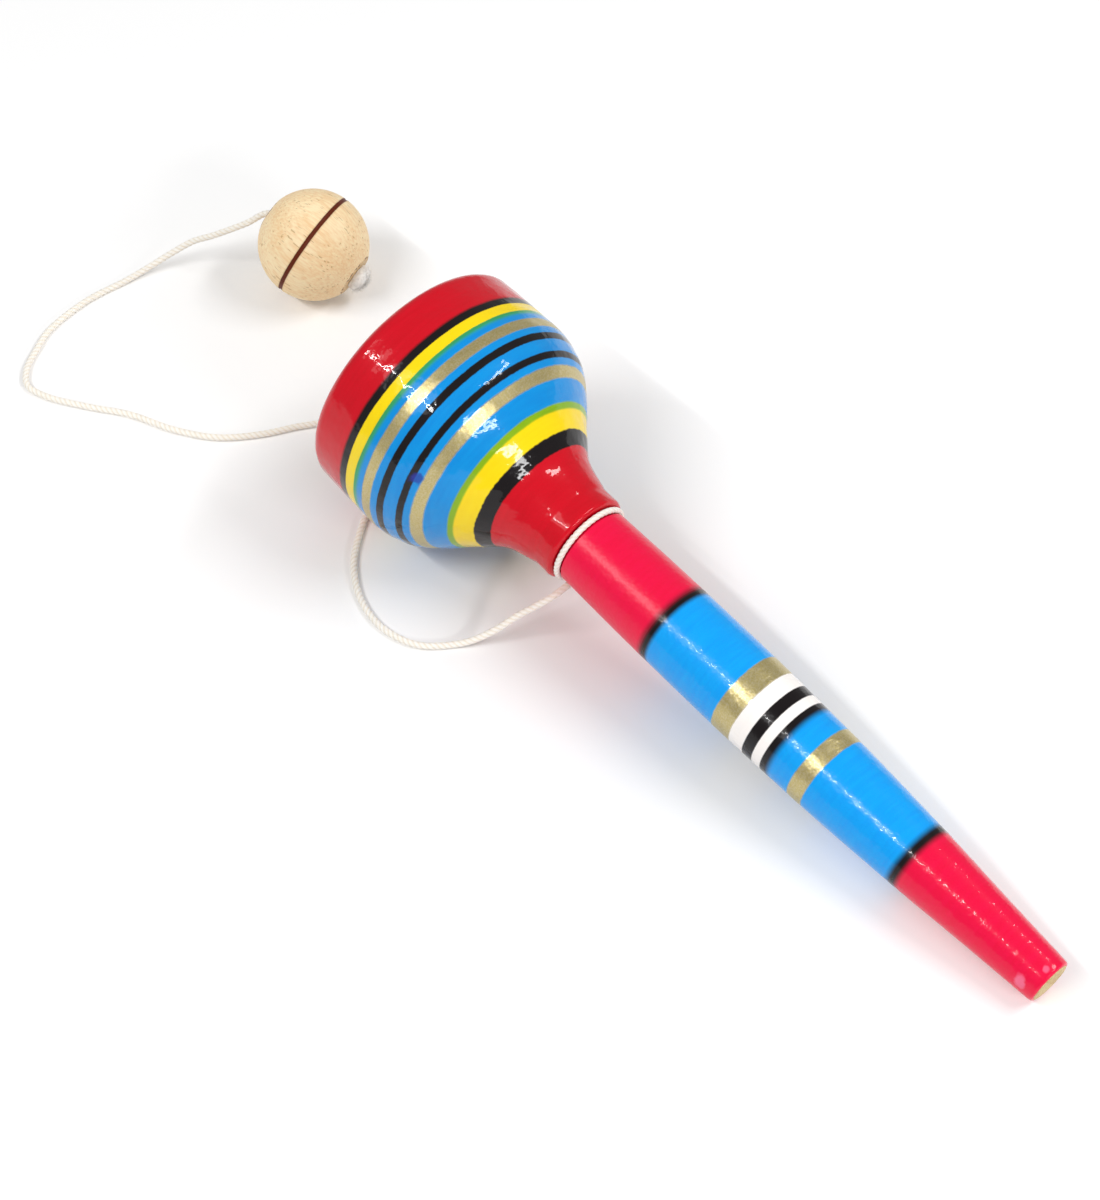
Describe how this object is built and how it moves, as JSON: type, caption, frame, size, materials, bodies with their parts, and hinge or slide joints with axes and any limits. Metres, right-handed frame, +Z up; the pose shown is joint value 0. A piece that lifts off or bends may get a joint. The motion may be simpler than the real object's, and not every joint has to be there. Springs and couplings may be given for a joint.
{
  "type": "cup and ball",
  "caption": "Turned wooden cup-and-ball toy: a painted cup on a tapered handle, with a bare wooden ball on a cotton string to be swung up and caught in the bowl.",
  "frame": {"origin": "bottom centre of the box round the stick and the ball, on the surface that the toy lies on", "axes": "+X along the stick from its mouth towards its tip, +Z up"},
  "size_m": [0.2989, 0.0903, 0.0626],
  "materials": {
    "cup_lacquer": "glossy lacquer in painted rings",
    "handle_lacquer": "glossy lacquer in painted rings",
    "bare_wood": "bare turned wood with a burnt line",
    "cotton": "twisted cotton"
  },
  "bodies": {
    "stick": {"cup": "cup_lacquer", "handle": "handle_lacquer", "string_collar": "cotton", "tie_knot": "cotton"},
    "string": {"string": "cotton", "stopper_knot": "cotton"},
    "ball": {"ball": "bare_wood"}
  },
  "joints": [
    {"name": "string_swing", "type": "hinge", "parent": "stick", "child": "string", "pos_m": [-0.00148, -0.00521, 0.01289], "axis": [0, 0, 1], "range_deg": [-15, 140]},
    {"name": "ball_spin", "type": "hinge", "parent": "string", "child": "ball", "pos_m": [-0.1247, 0.0197, 0.014], "axis": [0.8771, 0.2816, -0.3891], "continuous": true}
  ]
}
